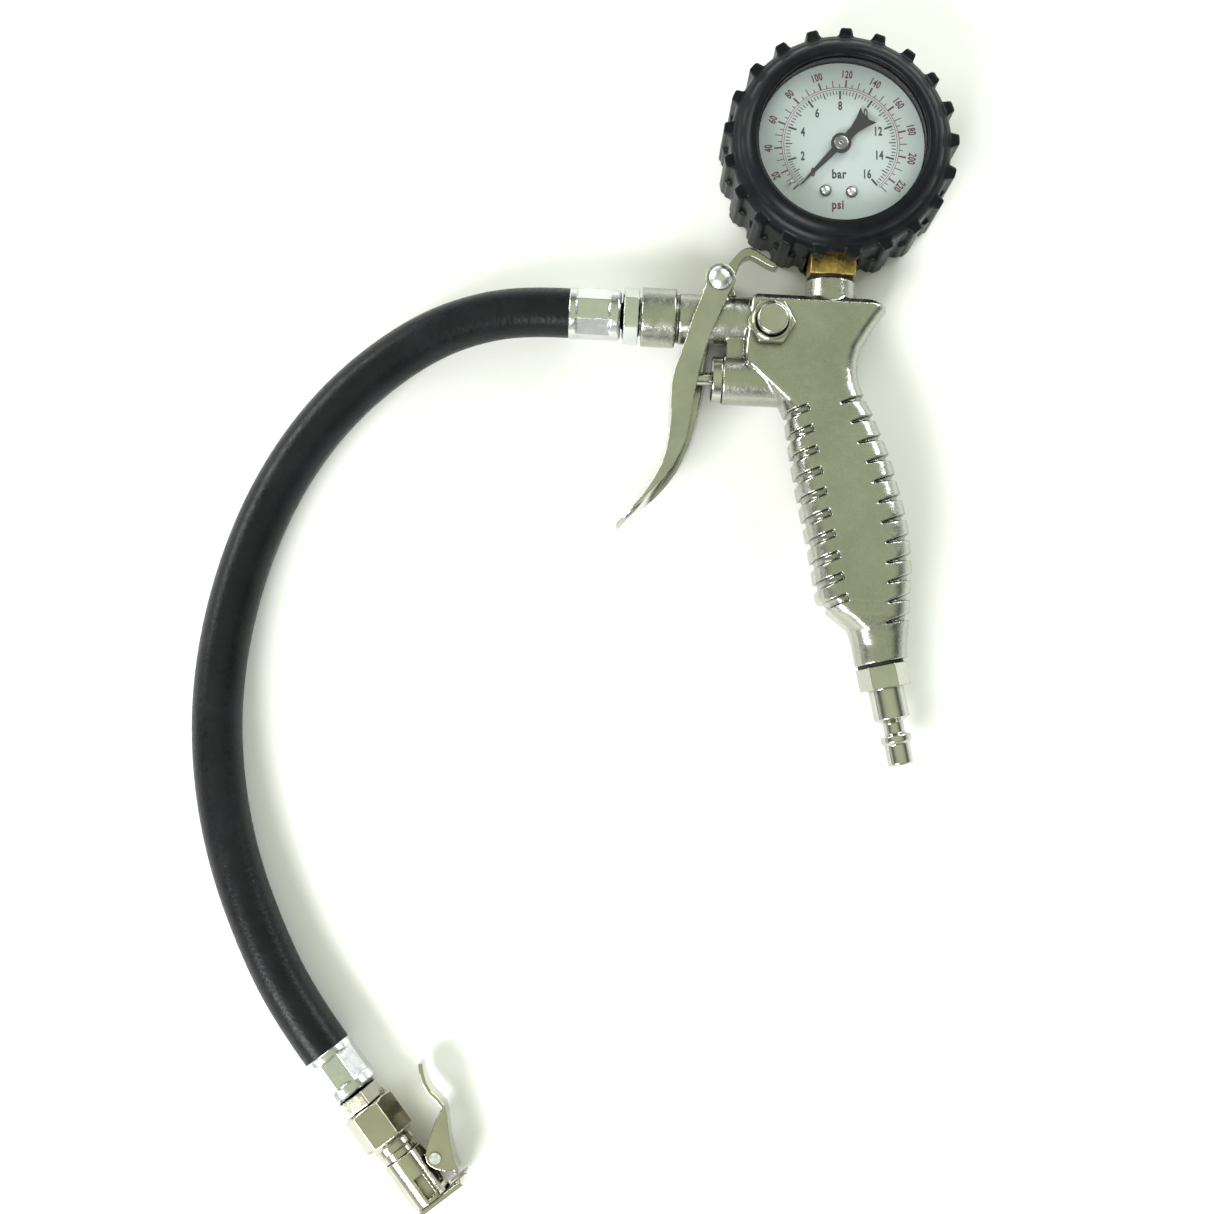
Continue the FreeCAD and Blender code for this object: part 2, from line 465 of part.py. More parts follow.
notch_sk = on_plane(boot, "stem_notch_profile", "XY_Plane", [(-8.4, -45), (8.4, -45), (8.4, -25), (-8.4, -25)], FreeCAD.Placement(V(0, 0, 2.6), FreeCAD.Rotation()))
notch = boot.newObject("PartDesign::Pocket", "stem_notch")
notch.Profile = notch_sk
notch.Length = 20.6
notch.Reversed = True
doc.recompute()
boot.Tip = notch

case, _ = revolved("gauge_case", [(0, 2.7), (31.5, 2.7), (31.5, 27.0), (30.7, 27.0), (30.7, 3.5), (0, 3.5)])
case_notch_sk = on_plane(case, "case_notch_profile", "XY_Plane", [(-7.75, -45), (7.75, -45), (7.75, -25), (-7.75, -25)], FreeCAD.Placement(V(0, 0, 4.75), FreeCAD.Rotation()))
case_notch = case.newObject("PartDesign::Pocket", "case_notch")
case_notch.Profile = case_notch_sk
case_notch.Length = 15.5
case_notch.Reversed = True
doc.recompute()
case.Tip = case_notch

bezel, _ = revolved("gauge_bezel", [(28.35, 27.02), (31.7, 27.02), (31.7, 30.6), (31.0, 31.3), (28.0, 31.3), (27.9, 31.0), (27.9, 30.75), (28.35, 30.72)])
for b, n in ((boot, "gauge_boot"), (case, "gauge_case"), (bezel, "gauge_bezel")):
    b.Placement = FreeCAD.Placement(V(GX, GY, 0), FreeCAD.Rotation())
node("gauge_boot", boot, "gauge")
node("gauge_case", case, "gauge")
node("gauge_bezel", bezel, "gauge")
node("gauge_lens", cyl("lens_form", "lens_r", "lens_t", (GX, GY, D["lens_z"]), "z"))
screw_xy = [(GX - 4.4, GY - 16.2), (GX + 4.4, GY - 16.2)]
DIAL_TURN = 3.1
stop_a = math.radians(218.0 + DIAL_TURN)
stop = (GX + 21.3 * math.cos(stop_a), GY + 21.3 * math.sin(stop_a))
node("gauge_dial", cut("dial_form", cyl("dial_raw", "dial_r", "dial_t", (GX, GY, D["dial_z"]), "z"),
                       [cyl("dial_hole", 1.4, 3, (GX, GY, 24), "z")] + [cyl("dial_screw_hole%d" % i, 0.85, 3, (x, y, 24), "z") for i, (x, y) in enumerate(screw_xy)] +
                       [cyl("dial_stop_hole", 0.5, 3, (stop[0], stop[1], 24), "z")]))
node("dial_screws", fuse("screws_form", [cyl("screw_head%d" % i, 1.55, 0.7, (x, y, 25.62), "z") for i, (x, y) in enumerate(screw_xy)] +
                         [cyl("screw_shank%d" % i, 0.8, 4.0, (x, y, 21.7), "z") for i, (x, y) in enumerate(screw_xy)]))
node("pointer_stop_pin", fuse("stop_form", [cyl("stop_shank", 0.48, 2.6, (stop[0], stop[1], 24.4), "z"), cyl("stop_flange", 0.9, 0.3, (stop[0], stop[1], 24.65), "z")]))

# movement: two plates on pillars, toothed sector and pinion, bourdon tube with its tip link
plates = [box("movement_back", (GX - 10.5, GY - 17.9, 10.0), (GX + 13.9, GY + 6.0, 11.0)), box("movement_front", (GX - 10.5, GY - 17.9, 20.6), (GX + 13.9, GY + 6.0, 21.6)),
          cyl("pillar_a", 1.4, 9.8, (GX - 8.5, GY - 15.9, 10.9), "z"), cyl("pillar_b", 1.2, 9.8, (GX + 4.6, GY - 16.5, 10.9), "z"),
          cyl("pillar_c", 1.4, 9.8, (GX - 8.5, GY + 4.0, 10.9), "z"), box("movement_foot", (GX - 5.0, GY - 21.3, 10.0), (GX + 1.9, GY - 17.8, 11.0))]
SEC = (GX + 11.6, GY - 10.4)   # sector pivot; its pitch circle touches the pinion's at the axis of the gauge
cd = math.hypot(SEC[0] - GX, SEC[1] - GY)
module = cd / 2 / 42.0 * 1.0
pin_teeth, sec_teeth = 12, 72
module = 2 * cd / (pin_teeth + sec_teeth)
frame_raw = fuse("movement_raw", plates)
node("movement_frame", cut("movement_form", frame_raw, [cyl("pinion_hole", 0.86, 20, (GX, GY, 8), "z"), cyl("sector_hole", 0.86, 20, (SEC[0], SEC[1], 8), "z")]
                           + [cyl("frame_screw_hole%d" % i, 0.86, 3, (x, y, 20), "z") for i, (x, y) in enumerate(screw_xy)]))


def gear(r_pitch, m, teeth, start, stop_i, phase, fill, z0, t, cx, cy, hub):
    # straight-flanked teeth with generous backlash; teeth start..stop_i of the full circle
    add, ded = 0.72 * m, 1.05 * m
    step = 2 * math.pi / teeth
    wide = 0.5 * step * fill * 1.25
    thin = 0.5 * step * fill * 0.55
    pts = []
    for i in range(start, stop_i + 1):
        a = phase + i * step
        for r, da in ((r_pitch - ded, -wide / 1.0), (r_pitch + add, -thin), (r_pitch + add, thin), (r_pitch - ded, wide)):
            pts.append(V(cx + r * math.cos(a + da * 0.5), cy + r * math.sin(a + da * 0.5), z0))
    if stop_i - start + 1 < teeth:
        pts.append(V(cx + hub * math.cos(phase + (stop_i + 3) * step), cy + hub * math.sin(phase + (stop_i + 3) * step), z0))
        pts.append(V(cx + hub * math.cos(phase + (start - 3) * step), cy + hub * math.sin(phase + (start - 3) * step), z0))
    return Part.Face(Part.makePolygon(pts + [pts[0]])).extrude(V(0, 0, t))


line = math.atan2(GY - SEC[1], GX - SEC[0])
rp_pin, rp_sec = module * pin_teeth / 2, module * sec_teeth / 2
# the pinion turns clockwise and the sector the other way: its teeth reach from the line of centres back by 45 degrees
sec_shape = gear(rp_sec, module, sec_teeth, -11, 2, line, 0.8, 16.6, 1.2, SEC[0], SEC[1], 3.0)
tail = Part.makeBox(9.0, 3.0, 1.2, V(0, -1.5, 16.6))
tail.rotate(V(0, 0, 0), V(0, 0, 1), math.degrees(line) + 180 - 22)
tail.translate(V(SEC[0], SEC[1], 0))
sec_solid = sec_shape.fuse([Part.makeCylinder(3.2, 1.2, V(SEC[0], SEC[1], 16.6)), tail, Part.makeCylinder(0.8, 12.4, V(SEC[0], SEC[1], 9.6))]).removeSplitter()
node("sector_gear", feature("sector_form", sec_solid))
pin_shape = gear(rp_pin, module, pin_teeth, 0, 11, line + math.pi + math.pi / pin_teeth, 0.8, 16.0, 2.4, GX, GY, 1.0)
pin_solid = pin_shape.fuse([Part.makeCylinder(0.8, 17.2, V(GX, GY, 9.6))]).removeSplitter()
node("pinion", feature("pinion_form", pin_solid))

tube_ring = doc.addObject("Part::Torus", "bourdon_ring")
tube_ring.Radius1, tube_ring.Radius2 = 25.4, 2.4
tube_ring.Angle3 = 258
tube_ring.Placement = FreeCAD.Placement(V(GX, GY, 12.5), FreeCAD.Rotation(V(0, 0, 1), -78))
node("bourdon_tube", fuse("bourdon_form", [tube_ring, box("bourdon_root", (GX + 2.0, GY - 27.75, 10.6), (GX + 6.8, GY - 22.2, 14.4))]))
tip_a = math.radians(180)
tip = (GX + 25.4 * math.cos(tip_a), GY + 25.4 * math.sin(tip_a))
node("bourdon_tip_link", fuse("tip_form", [box("tip_block", (tip[0] - 2.4, tip[1] - 4.1, 10.6), (tip[0] + 2.4, tip[1] - 0.02, 14.4)),
                                             box("tip_bar", (tip[0] + 1.0, tip[1] - 3.4, 16.2), (GX - 11.0, tip[1] - 1.4, 17.2)),
                                             cyl("tip_pin", 0.9, 3.2, (tip[0] + 1.4, tip[1] - 2.4, 14.0), "z")]))

# pointer: tapered blade, fan tail, hub
pa = math.radians(226.0 + DIAL_TURN)


def polar(r, a):
    return (GX + r * math.cos(a), GY + r * math.sin(a))


def local(u, w):
    return (GX + u * math.cos(pa) - w * math.sin(pa), GY + u * math.sin(pa) + w * math.cos(pa))


blade = plate("blade", [local(*p) for p in [(19.9, -0.12), (19.9, 0.12), (9.0, 0.85), (2.5, 1.15), (-2.5, 1.3), (-6.5, 1.5), (-9.8, 2.3), (-13.4, 3.7), (-12.4, 1.2), (-12.9, 0.0), (-12.4, -1.2),
                                             (-13.4, -3.7), (-9.8, -2.3), (-6.5, -1.5), (-2.5, -1.3), (2.5, -1.15), (9.0, -0.85)]], 26.75, 0.4)
node("pointer", cut("pointer_form", fuse("pointer_raw", [blade, cyl("pointer_hub", 3.4, 0.9, (GX, GY, 26.65), "z"), cyl("pointer_cap", 2.4, 0.35, (GX, GY, 27.5), "z")]),
                    [cyl("pointer_hole", 0.8, 0.6, (GX, GY, 26.2), "z")]))

# ---------------------------------------------------------------- hose fittings on the gun
def ferrule(name, base, axis, length, group):
    w = 2.0
    raw = fuse(name + "_raw", [cyl(name + "_rim", "ferrule_rim_r", 2.6, base(0), axis), cyl(name + "_flare", "ferrule_rim_r", 3.4, base(length - 3.4), axis)])
    return raw


def crimped(name, base, axis, length, stem, group):
    oct_ = doc.addObject("Part::Prism", name + "_crimp")
    oct_.Polygon = 8
    oct_.setExpression("Circumradius", "Dimensions.ferrule_r / cos(22.5 deg) * 0.985")
    oct_.Height = length - 4.4
    oct_.Placement = FreeCAD.Placement(V(*base(2.2)), turn_to(axis).multiply(FreeCAD.Rotation(V(0, 0, 1), 22.5)))
    raw = fuse(name + "_raw", [
        cyl(name + "_rim", "ferrule_rim_r", 2.0, base(0.4), axis), cone(name + "_rim_edge", 8.4, "ferrule_rim_r", 0.4, base(0), axis), cone(name + "_step", "ferrule_rim_r", 7.9, 0.6, base(2.4), axis), oct_,
        cone(name + "_swell", 8.0, "ferrule_rim_r", 1.2, base(length - 4.6), axis), cyl(name + "_flare", "ferrule_rim_r", 2.6, base(length - 3.4), axis),
        cone(name + "_end", "ferrule_rim_r", 7.6, 0.8, base(length - 0.8), axis)])
    return node(name, cut(name + "_form", raw, [cyl(name + "_hole", stem, length + 2, base(-1), axis)]), group)


crimped("gun_ferrule", lambda s: (-69.0 + s, 0, Z), "x", 17.6, 4.45, "gun")
stem_raw = fuse("hose_stem_raw", [hexa("hose_nut", "hose_nut_af", 5.0, (-50.4, 0, Z), "x", 34.0), cone("nut_face", 7.4, 8.4, 0.5, (-50.9, 0, Z), "x"),
                                  cyl("hose_stem", "stem_r", 19.0, (-68.9, 0, Z), "x"), cyl("stem_neck", 6.5, 1.2, (-45.6, 0, Z), "x"), cyl("stem_screw", 6.5, 9.8, (-44.6, 0, Z), "x")])
node("hose_stem_nut", cut("hose_stem_form", stem_raw, [cyl("hose_stem_bore", "stem_bore_r", 40, (-70, 0, Z), "x")]))

# ---------------------------------------------------------------- chuck, built along its own axis (X), Y beside it, Z up
crimped("chuck_ferrule", lambda s: (s, 0, 0), "x", 16.2, 4.45, "chuck")
cn = fuse("chuck_nut_raw", [hexa("chuck_nut", "chuck_nut_af", 4.9, (17.0, 0, 0), "x", 42.0), cyl("chuck_stem", "stem_r", 17.0, (0.1, 0, 0), "x"), cone("chuck_nut_face", 6.4, 7.2, 0.5, (16.5, 0, 0), "x"),
                            cyl("chuck_screw", 5.0, 10.0, (21.8, 0, 0), "x")])
node("chuck_hose_nut", cut("chuck_nut_form", cn, [cyl("chuck_stem_bore", "stem_bore_r", 40, (-1, 0, 0), "x")]), "chuck")
cb = fuse("chuck_raw", [hexa("chuck_hex", "chuck_af", 12.4, (22.8, 0, 0), "x", 30.0), cone("chuck_face", 7.8, 8.4, 0.5, (22.3, 0, 0), "x"), cone("chuck_slope", 9.0, "chuck_neck_r", 1.6, (35.2, 0, 0), "x"),
                        cyl("chuck_neck", "chuck_neck_r", 2.6, (36.8, 0, 0), "x"), cyl("chuck_waist", 6.2, 2.8, (39.3, 0, 0), "x"), cyl("chuck_spigot", 5.1, 4.2, (42.0, 0, 0), "x")])
node("chuck_body", cut("chuck_form", cb, [cyl("chuck_thread", 5.06, 10.6, (21.8, 0, 0), "x"), cyl("chuck_air", 2.0, 30, (30, 0, 0), "x")]), "chuck")
ear_s = D["lever_s"]
ear_n = D["lever_n"]
sl = fuse("sleeve_raw", [cyl("sleeve_tube", "sleeve_r", 17.3, (42.15, 0, 0), "x"),
                         box("ear_low", (46.4, 4.6, -3.3), (51.6, 9.1, -2.2)), box("ear_high", (46.4, 4.6, 2.2), (51.6, 9.1, 3.3)),
                         cyl("ear_low_round", 2.6, 1.1, (ear_s, ear_n, -3.3), "z"), cyl("ear_high_round", 2.6, 1.1, (ear_s, ear_n, 2.2), "z")])
node("chuck_sleeve", cut("sleeve_form", sl, [cyl("sleeve_spigot", "sleeve_spigot_r", 4.6, (42.0, 0, 0), "x"), cyl("valve_mouth", "sleeve_bore_r", 20, (46.0, 0, 0), "x"),
                                              cyl("seal_seat", 5.2, 3.0, (46.4, 0, 0), "x"),
                                              box("sleeve_window", (50.4, -0.4, 4.4), (58.2, 3.0, 9.0)),
                                              cyl("ear_hole", 1.2, 12, (ear_s, ear_n, -6), "z")]), "chuck")
node("chuck_seal", cut("chuck_seal_form", cyl("chuck_seal_raw", 5.15, 2.5, (46.5, 0, 0), "x"), [cyl("chuck_seal_hole", 1.9, 4, (46, 0, 0), "x")]), "chuck")
node("depressor_pin", fuse("depressor_form", [cyl("depressor_rod", 0.8, 6.2, (42.4, 0, 0), "x"), cyl("depressor_foot", 1.95, 1.0, (42.4, 0, 0), "x")]), "chuck")
node("lever_pin", fuse("lever_pin_form", [cyl("lever_pin_rod", "lever_pin_r", 11.4, (ear_s, ear_n, -5.7), "z"), cyl("lever_pin_head", 1.9, 0.7, (ear_s, ear_n, 5.2), "z"), cyl("lever_pin_tail", 1.9, 0.7, (ear_s, ear_n, -5.9), "z")]), "chuck")
helix = Part.makeHelix(1.0, 3.0, 1.55)
ring8 = [V(1.55 + 0.25 * math.cos(math.radians(22.5 + 45 * i)), 0, 0.25 * math.sin(math.radians(22.5 + 45 * i))) for i in range(8)]
spring = feature("lever_coil", Part.Wire(helix.Edges).makePipeShell([Part.makePolygon(ring8 + [ring8[0]])], True, True))
spring.Placement = FreeCAD.Placement(V(ear_s, ear_n, -1.5), FreeCAD.Rotation())
node("lever_spring", spring, "chuck")
path = [(22.0, 23.6), (24.6, 22.2), (27.8, 21.0), (31.0, 20.7), (34.0, 21.3), (37.3, 21.5), (40.0, 20.6), (42.6, 19.0), (46.9, 16.6), (52.9, 14.0), (56.4, 13.2), (57.6, 12.0)]
lever_web = plate("lever_web", strip(path, -1.4), -5.1, 10.2)
tri = [(37.6, 20.4), (42.0, 18.3), (46.5, 15.9), (52.6, 13.3), (56.2, 12.3), (54.6, 9.4), (51.9, 7.0), (50.2, 6.2), (48.6, 6.0), (46.6, 6.8), (44.0, 9.6), (41.4, 13.4), (39.0, 16.8)]
lc = [plate("lever_cheek_low", tri, -5.1, 1.3), plate("lever_cheek_high", tri, 3.8, 1.3)]
node("chuck_lever", cut("lever_form", fuse("lever_raw", [lever_web] + lc), [cyl("lever_hole", 1.26, 14, (ear_s, ear_n, -7), "z")]), "chuck")
jaw = fuse("jaw_raw", [box("jaw_plate", (59.75, -5.6, -5.4), (61.4, 11.3, 5.4)), box("jaw_arm", (58.5, 9.6, -3.6), (60.0, 11.3, 3.6)), box("jaw_tab", (58.5, 7.9, -3.6), (59.3, 14.4, 3.6))])
node("chuck_jaw", cut("jaw_form", jaw, [cyl("jaw_hole", 4.3, 6, (58.5, 0, 0), "x"), box("jaw_slot", (58.5, -4.3, -4.3), (64, 0.0, 4.3))]), "chuck")

# ---------------------------------------------------------------- hose: straight runs joined by tangent arcs
cx, cy, cz = D["chuck_x"], D["chuck_y"], D["chuck_z"]
ca = math.radians(D["chuck_turn"])
HOSE = [(-69.0, 0.0, 12.5), (-81.0, 0.0, 12.5), (-96.5, -2.3, 12.3), (-113.0, -8.4, 11.5), (-128.5, -18.6, 10.5), (-143.6, -32.6, 9.7), (-156.3, -49.3, 9.1), (-166.6, -68.8, 8.8),
        (-174.2, -91.0, 8.7), (-179.0, -115.5, 8.7), (-180.3, -140.5, 8.7), (-177.5, -165.5, 8.7), (-171.0, -190.0, 8.7), (-160.8, -213.5, 8.8),
        (cx - 19.8 * math.cos(ca), cy - 19.8 * math.sin(ca), 8.8), (cx, cy, cz)]


def hose_path(pts):
    q = [V(*p) for p in pts]
    edges, at, radii, total = [], q[0], [], 0.0
    for i in range(1, len(q) - 1):
        a, b = (q[i - 1] - q[i]), (q[i + 1] - q[i])
        la, lb = a.Length, b.Length
        a.normalize()
        b.normalize()
        half_turn = (math.pi - a.getAngle(b)) / 2
        d = 0.45 * min(la, lb)
        r = d / math.tan(half_turn)
        radii.append(r)
        t0, t1 = q[i] + a * d, q[i] + b * d
        bis = a + b
        bis.normalize()
        mid = q[i] + bis * (r / math.cos(half_turn) - r)
        edges.append(Part.LineSegment(at, t0).toShape())
        edges.append(Part.Arc(t0, mid, t1).toShape())
        total += (t0 - at).Length + r * 2 * half_turn
        at = t1
    edges.append(Part.LineSegment(at, q[-1]).toShape())
    total += (q[-1] - at).Length
    return Part.Wire(edges), total, radii


wire, length, radii = hose_path(HOSE)
prof = Part.Wire(Part.makeCircle(D["hose_r"], V(*HOSE[0]), V(-1, 0, 0)))
tube = wire.makePipeShell([prof], True, True)
want = math.pi * D["hose_r"] ** 2 * length
print("hose length %.1f mm, volume %.0f of %.0f, radii %s" % (length, tube.Volume, want, [round(r) for r in radii]))
assert abs(tube.Volume / want - 1) < 0.01
node("hose", feature("hose_form", tube))

# ---------------------------------------------------------------- placements
shift = FreeCAD.Placement(V(-D["origin_x"], -D["origin_y"], 0), FreeCAD.Rotation())
chuck_at = FreeCAD.Placement(V(cx, cy, cz), FreeCAD.Rotation(V(0, 0, 1), D["chuck_turn"]))
doc.recompute()
for name, (obj, group) in NODES.items():
    if group == "chuck":
        obj.Placement = shift.multiply(chuck_at).multiply(obj.Placement)
    else:
        obj.Placement = shift.multiply(obj.Placement)
doc.recompute()

bad = [o.Name for o in doc.Objects if "Invalid" in o.State or "Error" in o.State]
assert not bad, "failed features: %s" % bad
lo, hi = [1e9] * 3, [-1e9] * 3
CORD = {"hose", "chuck_ferrule", "chuck_hose_nut", "chuck_body", "chuck_sleeve", "chuck_seal", "depressor_pin", "lever_pin", "lever_spring", "chuck_lever", "chuck_jaw"}
for name, (obj, group) in NODES.items():
    s = obj.Shape
    assert not s.isNull() and s.isValid(), name
    assert s.Solids, name
    bb = s.BoundBox
    if name not in CORD:
        lo = [min(lo[0], bb.XMin), min(lo[1], bb.YMin), min(lo[2], bb.ZMin)]
        hi = [max(hi[0], bb.XMax), max(hi[1], bb.YMax), max(hi[2], bb.ZMax)]
    s.exportStep("parts/%s.step" % name)
    print("%-20s solids %d volume %9.1f  z %.2f..%.2f" % (name, len(s.Solids), s.Volume, bb.ZMin, bb.ZMax))
print("gun box", [round(v, 3) for v in lo], [round(v, 3) for v in hi], "middle", [round((a + b) / 2, 3) for a, b in zip(lo, hi)])
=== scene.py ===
"""Tyre inflator with dial gauge, rubber whip hose and clip-on chuck, lying on its back. Metres, row frame."""

import json
import math

import bmesh
import bpy
from mathutils import Matrix, Vector

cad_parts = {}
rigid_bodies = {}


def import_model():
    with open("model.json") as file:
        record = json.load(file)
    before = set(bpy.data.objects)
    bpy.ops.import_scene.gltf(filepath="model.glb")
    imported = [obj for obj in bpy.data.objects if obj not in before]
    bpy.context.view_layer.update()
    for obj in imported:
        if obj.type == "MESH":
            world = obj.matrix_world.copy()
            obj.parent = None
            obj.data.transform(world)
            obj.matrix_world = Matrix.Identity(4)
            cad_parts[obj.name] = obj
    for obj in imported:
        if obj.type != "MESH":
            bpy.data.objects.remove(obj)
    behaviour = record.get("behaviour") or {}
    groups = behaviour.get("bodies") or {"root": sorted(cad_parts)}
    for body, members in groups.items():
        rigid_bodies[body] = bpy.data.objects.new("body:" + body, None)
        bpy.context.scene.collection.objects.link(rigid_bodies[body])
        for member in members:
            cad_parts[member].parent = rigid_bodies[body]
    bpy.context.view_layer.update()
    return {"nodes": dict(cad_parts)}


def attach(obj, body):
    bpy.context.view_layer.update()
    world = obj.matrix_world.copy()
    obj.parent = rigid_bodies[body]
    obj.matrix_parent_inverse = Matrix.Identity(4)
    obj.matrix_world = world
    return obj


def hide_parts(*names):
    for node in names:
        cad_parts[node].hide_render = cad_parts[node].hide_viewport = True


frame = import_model()
NODES = frame["nodes"]
MM = 0.001
OFF = Vector((4.95, 24.612, 0.0))            # part.py's working frame to the row frame, millimetres


def row(x, y, z):
    return Vector((x + OFF.x, y + OFF.y, z)) * MM


# ------------------------------------------------------------------ camera
def make_camera():
    tilt, roll, dist = math.radians(5.2), math.radians(3.1), 603.0
    ca, sa, cr, sr = math.cos(tilt), math.sin(tilt), math.cos(roll), math.sin(roll)
    right = Vector((cr, sr, 0))
    up = Vector((-sr * ca, cr * ca, sa))
    back = Vector((sr * sa, -cr * sa, ca))
    cx, cy, cz = 0.0, -dist * sa, 14.5 + dist * ca
    at = Vector((cr * cx - sr * cy - 50.7487, sr * cx + cr * cy - 99.9888, cz)) + OFF
    cam = bpy.data.cameras.new("camera")
    cam.sensor_width = 36.0
    cam.sensor_fit = "HORIZONTAL"
    cam.lens = 1800.0 / 1214.0 * 36.0
    cam.clip_start, cam.clip_end = 0.01, 20.0
    ob = bpy.data.objects.new("camera", cam)
    bpy.context.scene.collection.objects.link(ob)
    m = Matrix.Identity(4)
    for i, col in enumerate((right, up, back)):
        for j in range(3):
            m[j][i] = col[j]
    m.translation = at * MM
    ob.matrix_world = m
    bpy.context.scene.camera = ob


make_camera()

# ------------------------------------------------------------------ hose
HOSE = [(-69.0, 0.0, 12.5), (-81.0, 0.0, 12.5), (-96.5, -2.3, 12.3), (-113.0, -8.4, 11.5), (-128.5, -18.6, 10.5), (-143.6, -32.6, 9.7), (-156.3, -49.3, 9.1), (-166.6, -68.8, 8.8),
        (-174.2, -91.0, 8.7), (-179.0, -115.5, 8.7), (-180.3, -140.5, 8.7), (-177.5, -165.5, 8.7), (-171.0, -190.0, 8.7), (-160.8, -213.5, 8.8),
        (-148.024, -236.238, 8.8), (-135.35, -251.45, 8.8)]
hose_curve = bpy.data.curves.new("rubber_hose", "CURVE")
hose_curve.dimensions = "3D"
spline = hose_curve.splines.new("NURBS")
spline.points.add(len(HOSE) - 1)
for p, q in zip(spline.points, HOSE):
    p.co = (*row(*q), 1.0)
    p.radius = 8.4 * MM
spline.order_u = 3
spline.use_endpoint_u = True
spline.resolution_u = 14
hose_curve.bevel_depth = 1.0  # times each point's radius, which also keeps the curve's own box true
hose_curve.bevel_resolution = 12
hose_curve.use_fill_caps = True
hose = bpy.data.objects.new("rubber_hose", hose_curve)
bpy.context.scene.collection.objects.link(hose)
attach(hose, "gun")
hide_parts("hose")


# ------------------------------------------------------------------ materials
class Mat:
    """A node material with a few short ways to add noise."""

    def __init__(self, name, base, metallic=0.0, rough=0.5, spec=0.5, ior=1.5):
        self.m = bpy.data.materials.new(name)
        self.m.use_nodes = True
        self.t = self.m.node_tree
        self.b = self.t.nodes["Principled BSDF"]
        self.b.inputs["Base Color"].default_value = (*base, 1)
        self.b.inputs["Metallic"].default_value = metallic
        self.b.inputs["Roughness"].default_value = rough
        self.b.inputs["Specular IOR Level"].default_value = spec
        self.b.inputs["IOR"].default_value = ior
        self.m.diffuse_color = (*base, 1)
        self.co = self.t.nodes.new("ShaderNodeTexCoord").outputs["Object"]
        self.normal = None

    def link(self, a, b):
        self.t.links.new(a, b)

    def mapped(self, scale):
        n = self.t.nodes.new("ShaderNodeMapping")
        n.inputs["Scale"].default_value = scale
        self.link(self.co, n.inputs["Vector"])
        return n.outputs["Vector"]

    def noise(self, per_mm, detail=2.0, rough=0.5, stretch=(1, 1, 1), distortion=0.0):
        n = self.t.nodes.new("ShaderNodeTexNoise")
        self.link(self.mapped(tuple(1000.0 * per_mm * s for s in stretch)), n.inputs["Vector"])
        n.inputs["Scale"].default_value = 1.0
        n.inputs["Detail"].default_value = detail
        n.inputs["Roughness"].default_value = rough
        n.inputs["Distortion"].default_value = distortion
        return n.outputs["Fac"]

    def cells(self, per_mm, stretch=(1, 1, 1)):
        n = self.t.nodes.new("ShaderNodeTexVoronoi")
        self.link(self.mapped(tuple(1000.0 * per_mm * s for s in stretch)), n.inputs["Vector"])
        n.inputs["Scale"].default_value = 1.0
        return n.outputs["Distance"]

    def ramp(self, fac, stops, mode="LINEAR"):
        n = self.t.nodes.new("ShaderNodeValToRGB")
        n.color_ramp.interpolation = mode
        while len(n.color_ramp.elements) < len(stops):
            n.color_ramp.elements.new(0.5)
        for e, (pos, col) in zip(n.color_ramp.elements, stops):
            e.position = pos
            e.color = (*col, 1) if isinstance(col, tuple) else (col, col, col, 1)
        self.link(fac, n.inputs["Fac"])
        return n.outputs["Color"]

    def mul(self, a, b, fac=1.0, mode="MULTIPLY"):
        n = self.t.nodes.new("ShaderNodeMix")
        n.data_type = "RGBA"
        n.blend_type = mode
        n.inputs["Factor"].default_value = fac
        self.link(a, n.inputs["A"])
        self.link(b, n.inputs["B"])
        return n.outputs["Result"]

    def colour(self, out):
        self.link(out, self.b.inputs["Base Color"])
        return self

    def roughness(self, out):
        self.link(out, self.b.inputs["Roughness"])
        return self

    def bump(self, height, mm, strength=1.0):
        n = self.t.nodes.new("ShaderNodeBump")
        n.inputs["Distance"].default_value = mm * MM
        n.inputs["Strength"].default_value = strength
        self.link(height, n.inputs["Height"])
        if self.normal is not None:
            self.link(self.normal, n.inputs["Normal"])
        self.normal = n.outputs["Normal"]
        self.link(self.normal, self.b.inputs["Normal"])
        return self

    def wear(self, low, high):
        """Painted shade mask from pointiness: 0 in the hollows, 1 on the edges."""
        g = self.t.nodes.new("ShaderNodeNewGeometry")
        return self.ramp(g.outputs["Pointiness"], [(low, 0.0), (high, 1.0)])


def crevice(m, dist_mm, low):
    """Painted shade: ambient occlusion darkens the base colour where two surfaces meet closely."""
    n = m.t.nodes.new("ShaderNodeAmbientOcclusion")
    n.samples = 8
    n.inputs["Distance"].default_value = dist_mm * MM
    return m.ramp(n.outputs["AO"], [(0.30, low), (0.85, 1.0)])


def cast_metal(name, base, rough, peel, cell):
    m = Mat(name, base, 1.0, rough)
    big = m.ramp(m.noise(0.05, 3.0), [(0.3, tuple(c * 0.9 for c in base)), (0.7, tuple(min(1, c * 1.07) for c in base))])
    fine = m.ramp(m.noise(1.6, 3.0), [(0.25, 0.86), (0.75, 1.0)])
    # painted shade: hollows (pointiness) and close contacts with other parts (ambient occlusion) are darkened in the
    # base colour
    hollow_shade = m.ramp(m.wear(0.44, 0.56), [(0.0, 0.55), (0.55, 1.0)])
    m.colour(m.mul(m.mul(m.mul(big, fine), hollow_shade), crevice(m, 3.0, 0.22)))
    m.roughness(m.ramp(m.noise(0.35, 4.0), [(0.3, rough * 0.8), (0.7, rough * 1.25)]))
    m.bump(m.ramp(m.noise(cell, 2.0, 0.55), [(0.32, 0.0), (0.68, 1.0)]), peel)
    m.bump(m.noise(0.22, 2.0), 0.03)
    return m.m


